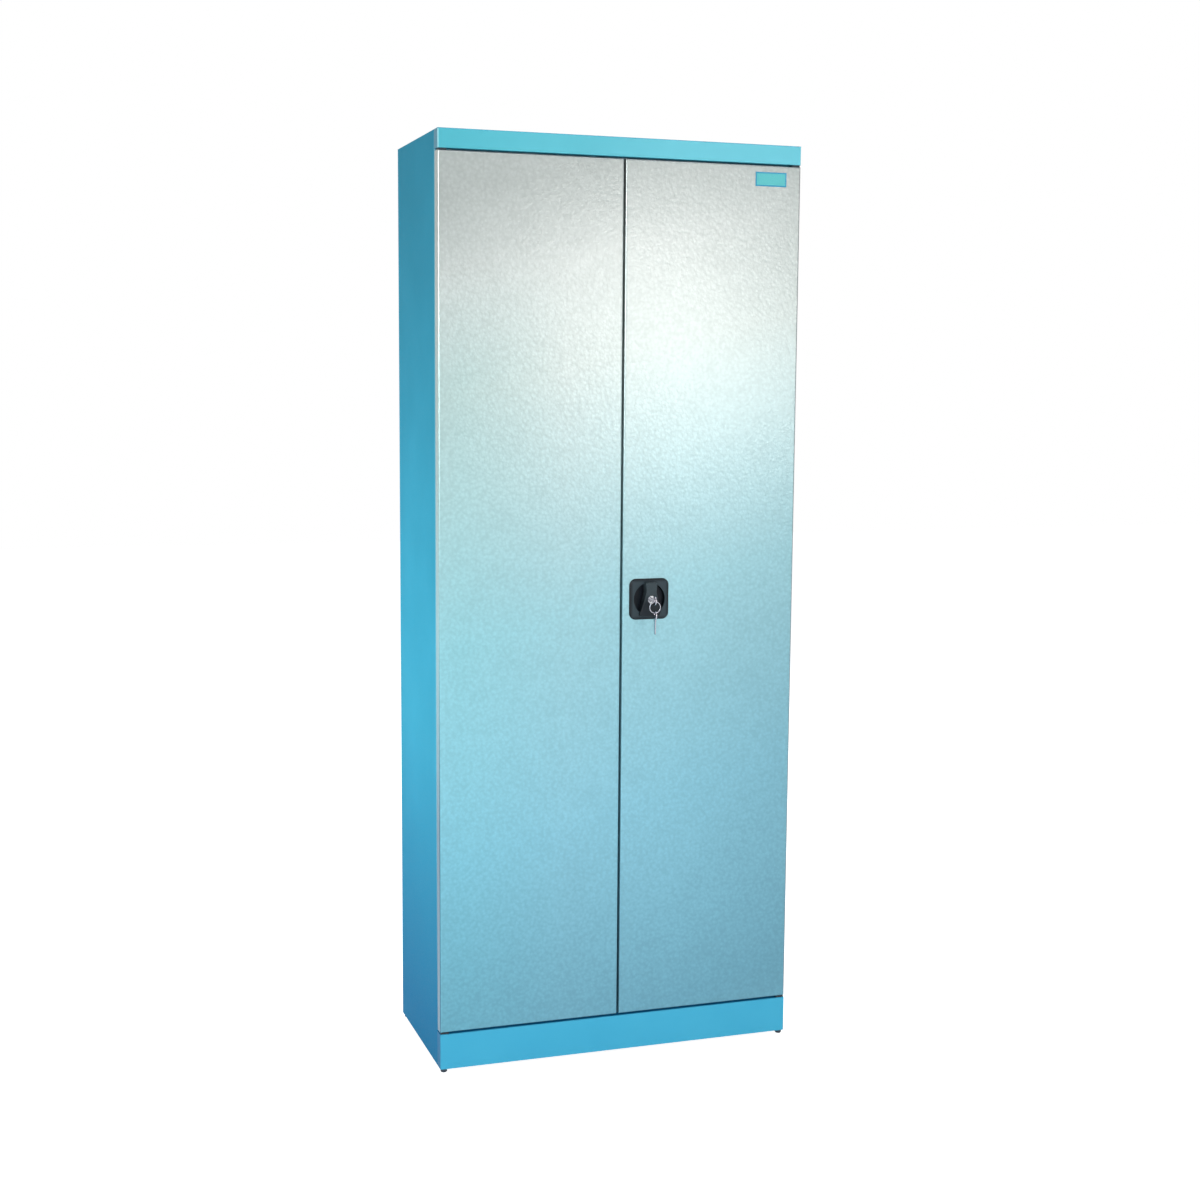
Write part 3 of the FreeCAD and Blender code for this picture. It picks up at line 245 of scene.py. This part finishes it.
def mould_grain(tree, shader, place, roughness):
    """The fine even grain of an eroded mould, in gloss and relief."""
    grain = add(tree, "ShaderNodeTexNoise", {"Scale": per_mm(MOULD_GRAIN), "Detail": 2, "Roughness": 0.5},
                {"Vector": place}).outputs["Fac"]
    give_surface(tree, shader, grain, roughness, grain, depth=0.03, strength=0.5)


def moulded_black(name, shades, rough):
    """A black plastic or rubber moulding: dark satin, finely grained, a little uneven from handling."""
    material, tree, shader, place = new_finish(name, {"IOR": 1.53, "Roughness": rough})
    wear = add(tree, "ShaderNodeTexNoise", {"Scale": per_mm(HANDLING_WEAR), "Detail": 2, "Roughness": 0.5},
               {"Vector": place}).outputs["Fac"]
    stops = ((PATTERN_LOW, shades[0]), (PATTERN_HIGH, shades[1]))
    tone = add(tree, "ShaderNodeValToRGB", {"stops": stops}, {"Fac": wear}).outputs["Color"]
    tree.links.new(tone, shader.inputs["Base Color"])
    mould_grain(tree, shader, place, (rough - 0.06, rough + 0.06))
    return material


def lock_nylon(name, flat, dark, lower_half_shade):
    """Glass filled nylon of the lock: grained flats that look grey, with painted shade darkening the hollows
    and edges.

    The lower half shade is how far the lower half is painted dark as shade, from 0 to 1.
    """
    material, tree, shader, place = new_finish(name, {"IOR": 1.53, "Specular IOR Level": 0.2})
    axes = add(tree, "ShaderNodeSeparateXYZ", {}, {"Vector": place}).outputs
    low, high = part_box("lock_housing")
    middle = (low + high) / 2
    door_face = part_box("right_door_panel")[0].y
    # Painted shade: dark in the hollow behind the door face, on the edges and, as far as the lower half shade
    # says, on the lower half
    hollow = (axes["Y"], door_face - 2.5 * MM, door_face + 3 * MM, 1.0)
    foot = (axes["Z"], middle.z + 10 * MM, middle.z - 6 * MM, lower_half_shade)
    painted_shade_ranges = [hollow, foot]
    for axis, centre, half in (("X", middle.x, (high.x - low.x) / 2), ("Z", middle.z, (high.z - low.z) / 2)):
        from_centre = {"operation": "SUBTRACT", 1: centre}
        offset = add(tree, "ShaderNodeMath", from_centre, {0: axes[axis]}).outputs["Value"]
        away = add(tree, "ShaderNodeMath", {"operation": "ABSOLUTE"}, {0: offset}).outputs["Value"]
        painted_shade_ranges.append((away, half - 8 * MM, half - 1 * MM, 1.0))
    share = share_passed(tree, "MAXIMUM", *painted_shade_ranges)
    stops = ((0.0, flat), (1.0, dark))
    tone = add(tree, "ShaderNodeValToRGB", {"stops": stops}, {"Fac": share}).outputs["Color"]
    tree.links.new(tone, shader.inputs["Base Color"])
    mould_grain(tree, shader, place, (0.38, 0.5))
    return material


def plated_metal(name, shades, rough, scratch):
    """Plated steel or zinc: bright, with faint drawn scratches."""
    material, tree, shader, place = new_finish(name, {"Metallic": 1.0, "Roughness": rough})
    upright = {"Scale": (1.0, 1.0, 0.12)}
    stretched = add(tree, "ShaderNodeMapping", upright, {"Vector": place}).outputs["Vector"]
    lines = add(tree, "ShaderNodeTexNoise", {"Scale": per_mm(scratch), "Detail": 3, "Roughness": 0.6},
                {"Vector": stretched}).outputs["Fac"]
    stops = ((PATTERN_LOW, shades[0]), (PATTERN_HIGH, shades[1]))
    tone = add(tree, "ShaderNodeValToRGB", {"stops": stops}, {"Fac": lines}).outputs["Color"]
    tree.links.new(tone, shader.inputs["Base Color"])
    give_surface(tree, shader, lines, (rough * 0.8, rough * 1.3), lines, depth=0.01, strength=0.4)
    return material


FINISHES = {
    "carcass_paint": polyester_powder_coat("cyan_powder_coat", "#37A2C2", "#34A0BF", "#3BA8C7"),
    "inner_paint": polyester_powder_coat("grey_powder_coat", "#A9B8BE", "#A2B2B8", "#B0BEC3"),
    "door_paint": silver_hammertone("silver_hammertone"),
    "zinc_steel": plated_metal("bright_zinc_plate", ("#A9ACAB", "#C6C8C5"), 0.34, 1.2),
    "black_glide": moulded_black("black_polyethylene", ("#172430", "#1E2D3A"), 0.5),
    "black_rubber": moulded_black("black_rubber", ("#101112", "#18191A"), 0.8),
    "black_nylon": moulded_black("black_nylon", ("#0E1922", "#14222C"), 0.6),
    "black_plastic": lock_nylon("black_grained_nylon", "#2C383E", "#080D14", 0.0),
    "chrome_plate": plated_metal("chrome_plate", ("#D2D4D6", "#E2E3E4"), 0.12, 0.8),
    "nickel_key": plated_metal("nickel_plate", ("#A3A3AD", "#C3C3CC"), 0.22, 0.8),
}
FINISHES["door_inner_paint"] = FINISHES["door_paint"]


def side_coat():
    """The side panels' coat, with a painted highlight over the front fold and painted shade, a deeper blue,
    at the foot.
    """
    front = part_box("left_side_panel")[0].y
    # Painted highlight over the front fold and painted shade at the foot
    front_fold = ("Y", front + 3 * MM, front + 1 * MM, "#8CCBDA")
    foot = ("Z", 0.7, 0.08, "#1180B1")
    return polyester_powder_coat("side_powder_coat", "#39AACB", "#36A6C7", "#3DAFD0", 0.01,
                                 (front_fold, foot))


def header_coat():
    """The header's coat with painted light and shade: paler to the right, bright on its end fold, deep on the
    side returns.
    """
    end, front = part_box("header_band")[0].x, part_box("header_band")[0].y
    # Painted light, darker at the left and paler to the right; painted highlight on the end fold; painted
    # shade on the side returns
    left_part = ("X", -0.13, -0.36, "#47ACBC")
    right_part = ("X", -0.12, 0.1, "#5FB9C9")
    end_fold = ("X", end + 3 * MM, end + 1 * MM, "#9ADCE4")
    side_return = ("Y", front + 0.8 * MM, front + 2.4 * MM, "#2E8FAC")
    return polyester_powder_coat("header_powder_coat", "#50B0C0", "#4CABBC", "#55B5C5", 0.5,
                                 (left_part, right_part, end_fold, side_return))


def plinth_coat():
    """The plinth's coat, with painted shade on the side returns."""
    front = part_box("plinth")[0].y
    # Painted shade on the side returns
    side_return = ("Y", front + 0.8 * MM, front + 2.4 * MM, "#1B78A8")
    return polyester_powder_coat("plinth_powder_coat", "#45A7C9", "#42A3C6", "#49ABCC", 0.05, (side_return,))


SIDE_COAT = side_coat()

NODE_FINISHES = {
    "left_side_panel": SIDE_COAT,
    "right_side_panel": SIDE_COAT,
    "header_band": header_coat(),
    "plinth": plinth_coat(),
    # The grip's lower half is painted dark as shade
    "turn_handle": lock_nylon("black_grip_nylon", "#313C41", "#0B1118", 0.85),
}


def dress_cad_nodes():
    """Gives each solid the finish of its slot in the record, or its own."""
    for part in frame["record"]["subparts"]:
        node = nodes[part["node"]]
        finish = NODE_FINISHES.get(part["node"], FINISHES[part["material_slot"]])
        if not node.material_slots:
            node.data.materials.append(finish)
        for slot in node.material_slots:
            slot.material = finish


dress_cad_nodes()


# Softened edges on the small moulded and stamped parts, in millimetres
EDGE_BREAKS = {
    "lock_housing": 0.5,
    "turn_handle": 0.6,
    "lock_barrel": 0.5,
    "key_plug": 0.25,
    "door_key": 0.3,
    "spare_key": 0.3,
    "cam_plate": 0.3,
    "upper_rod": 0.4,
    "lower_rod": 0.4,
    "left_upper_bolt": 0.4,
    "left_lower_bolt": 0.4,
}
SOFTENED_ANGLE = math.radians(35)


def break_edges():
    """Takes the sharp corners off the lock's parts, as moulding and tumbling do."""
    for name, width in EDGE_BREAKS.items():
        bevel = nodes[name].modifiers.new("broken_edges", "BEVEL")
        bevel.width = width * MM
        bevel.segments = 2
        bevel.limit_method = "ANGLE"
        bevel.angle_limit = SOFTENED_ANGLE
        bevel.harden_normals = True


break_edges()


# Small pieces
def new_piece(name, mesh, body, finishes):
    """Makes an object of a finished bmesh and lets it ride on a body of the frame."""
    bmesh.ops.recalc_face_normals(mesh, faces=mesh.faces)
    data = bpy.data.meshes.new(name)
    mesh.to_mesh(data)
    mesh.free()
    piece = bpy.data.objects.new(name, data)
    bpy.context.scene.collection.objects.link(piece)
    for finish in finishes:
        data.materials.append(finish)
    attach(piece, body)
    return piece


PLATE_WIDTH, PLATE_HEIGHT, PLATE_THICKNESS = 69 * MM, 29 * MM, 0.8 * MM
PLATE_RIM, PLATE_WORN_EDGE = 4 * MM, 0.25 * MM
PLATE_FROM_DOOR_EDGE, PLATE_FROM_DOOR_TOP = 67 * MM, 27.5 * MM


def badge_plate():
    """A small blank plate with a raised rim, stuck to the door's face."""
    door_low, door_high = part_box("right_door_panel")
    centre = Vector((door_high.x - PLATE_FROM_DOOR_EDGE, door_low.y, door_high.z - PLATE_FROM_DOOR_TOP))
    mesh = bmesh.new()
    half_w, half_h = PLATE_WIDTH / 2, PLATE_HEIGHT / 2
    corners = [(-half_w, -half_h), (half_w, -half_h), (half_w, half_h), (-half_w, half_h)]
    face = mesh.faces.new([mesh.verts.new(centre + Vector((x, 0, z))) for x, z in corners])
    grown = bmesh.ops.extrude_face_region(mesh, geom=[face])
    front = [v for v in grown["geom"] if isinstance(v, bmesh.types.BMVert)]
    bmesh.ops.translate(mesh, verts=front, vec=(0, -PLATE_THICKNESS, 0))
    field = next(f for f in grown["geom"] if isinstance(f, bmesh.types.BMFace))
    bmesh.ops.inset_region(mesh, faces=[field], thickness=PLATE_RIM)
    bmesh.ops.translate(mesh, verts=field.verts, vec=(0, PLATE_THICKNESS / 3, 0))
    field.material_index = 1
    rim_enamel = polyester_powder_coat("plate_rim_enamel", "#4391B2", "#3D8BAC", "#4A98B8")
    field_enamel = polyester_powder_coat("plate_field_enamel", "#5DB5B9", "#57B0B5", "#64BBBE")
    plate = new_piece("badge_plate", mesh, "right_door", [rim_enamel, field_enamel])
    bevel = plate.modifiers.new("worn_edges", "BEVEL")
    bevel.width = PLATE_WORN_EDGE
    bevel.segments = 2


# The wire is rolled flat. Its width and thickness are shares of the ring's depth, its start on the ring is in
# radians, and the step where one turn crosses over to the other is in turns.
WIRE_POINTS, WIRE_SQUARENESS = 10, 0.7
WIRE_WIDE, WIRE_THICK = 0.97, 0.47
RING_STEPS, RING_START = 144, 2.4
STEP_START, STEP_LENGTH = 0.93, 0.14


def split_ring():
    """Two turns of flattened wire that lie on each other, with the step where one end crosses over."""
    low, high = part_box("key_ring")
    centre = (low + high) / 2
    wire = (high.y - low.y) / 2
    middle_radius = (high.x - low.x) / 2 - wire
    section = []
    for number in range(WIRE_POINTS):
        angle = math.tau * number / WIRE_POINTS
        across, along = math.cos(angle), math.sin(angle)
        section.append((wire * WIRE_WIDE * math.copysign(abs(across) ** WIRE_SQUARENESS, across),
                        wire * WIRE_THICK * math.copysign(abs(along) ** WIRE_SQUARENESS, along)))
    mesh = bmesh.new()
    loops = []
    for step in range(RING_STEPS + 1):
        turn = 2 * step / RING_STEPS
        crossing = min(max((turn - STEP_START) / STEP_LENGTH, 0.0), 1.0)
        lift = wire * (crossing * crossing * (3 - 2 * crossing) - 0.5)
        angle = math.tau * turn + RING_START
        outward = Vector((math.cos(angle), 0, math.sin(angle)))
        loop = []
        for across, along in section:
            corner = centre + outward * (middle_radius + across) + Vector((0, lift + along, 0))
            loop.append(mesh.verts.new(corner))
        loops.append(loop)
    for loop, following in zip(loops, loops[1:]):
        for a in range(WIRE_POINTS):
            b = (a + 1) % WIRE_POINTS
            face = mesh.faces.new([loop[a], loop[b], following[b], following[a]])
            face.smooth = True
    mesh.faces.new(loops[0])
    mesh.faces.new(loops[-1])
    ring = new_piece("split_ring", mesh, "ring", [FINISHES["nickel_key"]])
    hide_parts("key_ring")


badge_plate()
split_ring()


# Camera of the photograph, in the cabinet's frame: metres, degrees, and millimetres for the lens
CAMERA_PLACE = Vector((-1.2156, -3.6134, 1.4126))
CAMERA_YAW, CAMERA_PITCH, CAMERA_ROLL = -18.68, -6.91, -0.43
CAMERA_LENS, CAMERA_SENSOR = 53.77, 36


def photograph_camera():
    """The camera at the photograph's viewing angle."""
    data = bpy.data.cameras.new("camera")
    data.lens = CAMERA_LENS
    data.sensor_width = CAMERA_SENSOR
    data.sensor_fit = "HORIZONTAL"
    camera = bpy.data.objects.new("camera", data)
    bpy.context.scene.collection.objects.link(camera)
    turn = Matrix.Rotation(math.radians(CAMERA_YAW), 4, "Z")
    turn = turn @ Matrix.Rotation(math.radians(CAMERA_PITCH + 90), 4, "X")
    turn = turn @ Matrix.Rotation(math.radians(-CAMERA_ROLL), 4, "Z")
    camera.matrix_world = Matrix.Translation(CAMERA_PLACE) @ turn
    bpy.context.scene.camera = camera


photograph_camera()


# Studio, in metres and watts
def softbox(name, place, aim, size, power, shade="#FFFFFF", roll=0.0):
    """A rectangular lamp that faces a point and is turned about its own axis by the roll, in degrees."""
    data = bpy.data.lights.new(name, "AREA")
    data.shape = "RECTANGLE"
    data.size, data.size_y = size
    data.energy = power
    data.color = linear(shade)[:3]
    lamp = bpy.data.objects.new(name, data)
    bpy.context.scene.collection.objects.link(lamp)
    lamp.location = place
    lamp.rotation_mode = "QUATERNION"
    facing = (Vector(aim) - Vector(place)).to_track_quat("-Z", "Y")
    lamp.rotation_quaternion = facing @ Quaternion((0, 0, 1), math.radians(roll))
    return lamp


def wide_fill(name, place, aim, size, power):
    """A softbox behind so much cloth that no mirror image of it shows."""
    lamp = softbox(name, place, aim, size, power)
    lamp.visible_glossy = False


def glint_strip(name, place, aim, size, power, shade="#FFFFFF"):
    """A narrow lamp that shows only as a bright line along the folds."""
    lamp = softbox(name, place, aim, size, power, shade)
    lamp.visible_diffuse = False


def seen_directly(tree):
    """One for rays from the camera and for those that metal or glass sends on, else zero."""
    path = add(tree, "ShaderNodeLightPath")
    seen = path.outputs["Is Camera Ray"]
    for kind in ("Is Glossy Ray", "Is Transmission Ray"):
        either = add(tree, "ShaderNodeMath", {"operation": "MAXIMUM"}, {0: seen, 1: path.outputs[kind]})
        seen = either.outputs["Value"]
    return seen


FLOOR_REACH, FLOOR_GLOW = 12.0, 0.87
ROOM_STRENGTH, SHOWN_WHITE = 0.31, 1.0


def pale_floor():
    """A white floor that shows as plain white and still takes the cabinet's shadow."""
    mesh = bmesh.new()
    corners = ((-1, -1), (1, -1), (1, 1), (-1, 1))
    mesh.faces.new([mesh.verts.new((x * FLOOR_REACH, y * FLOOR_REACH, 0)) for x, y in corners])
    data = bpy.data.meshes.new("floor")
    mesh.to_mesh(data)
    mesh.free()
    floor = bpy.data.objects.new("floor", data)
    bpy.context.scene.collection.objects.link(floor)
    material = bpy.data.materials.new("studio_floor")
    material.use_nodes = True
    tree = material.node_tree
    tree.nodes.clear()
    matt = add(tree, "ShaderNodeBsdfDiffuse", {"Color": linear("#D0D4D6")})
    where_seen = {"operation": "MULTIPLY", 1: FLOOR_GLOW}
    share = add(tree, "ShaderNodeMath", where_seen, {0: seen_directly(tree)}).outputs["Value"]
    glow = add(tree, "ShaderNodeEmission", {"Color": linear("#FFFFFF")}, {"Strength": share})
    both = add(tree, "ShaderNodeAddShader", {}, {0: matt.outputs[0], 1: glow.outputs[0]})
    add(tree, "ShaderNodeOutputMaterial", {}, {"Surface": both.outputs[0]})
    data.materials.append(material)


def white_world():
    """A pale room that lights the cabinet softly and shows as plain white."""
    world = bpy.data.worlds.new("studio")
    bpy.context.scene.world = world
    world.use_nodes = True
    tree = world.node_tree
    tree.nodes.clear()
    room = add(tree, "ShaderNodeBackground", {"Color": linear("#F2F6F8"), "Strength": ROOM_STRENGTH})
    white = add(tree, "ShaderNodeBackground", {"Color": linear("#FFFFFF"), "Strength": SHOWN_WHITE})
    shaders = {0: seen_directly(tree), 1: room.outputs[0], 2: white.outputs[0]}
    either = add(tree, "ShaderNodeMixShader", {}, shaders)
    add(tree, "ShaderNodeOutputWorld", {}, {"Surface": either.outputs[0]})


GLINT = Vector((0.14, -0.156, 1.49))
GLINT_LAMP_AWAY = 3.2


def door_light():
    """The large lamp whose mirror image falls on the upper middle of the doors."""
    mirrored = Vector((CAMERA_PLACE.x, 2 * GLINT.y - CAMERA_PLACE.y, CAMERA_PLACE.z))
    place = GLINT + (GLINT - mirrored).normalized() * GLINT_LAMP_AWAY
    softbox("door_light", place, aim=GLINT, size=(1.1, 0.55), power=10.8, shade="#FFEEEA", roll=-22)


def studio():
    """The floor, the room and the lamps."""
    pale_floor()
    white_world()
    door_light()
    wide_fill("front_fill", (-0.9, -3.9, 0.9), aim=(0.0, -0.1, 0.8), size=(1.8, 1.4), power=115)
    wide_fill("left_fill", (-1.3, 0.1, 0.8), aim=(-0.4, 0.1, 0.8), size=(0.3, 0.3), power=5.3)
    glint_strip("edge_strip", (-1.7, -1.1, 1.8), aim=(-0.385, -0.156, 1.6), size=(0.2, 1.1), power=26)
    glint_strip("top_strip", (0.3, -0.8, 3.1), aim=(-0.1, -0.156, 1.85), size=(1.4, 0.12), power=4,
                shade="#FFE9F4")
    wide_fill("header_fill", (0.95, -1.5, 2.45), aim=(0.25, -0.2, 1.87), size=(0.9, 0.3), power=5)
    wide_fill("rear_fill", (0.4, 3.4, 3.6), aim=(0.0, 0.2, 0.9), size=(2.4, 1.2), power=130)
    bpy.context.scene.view_settings.view_transform = "Standard"


studio()
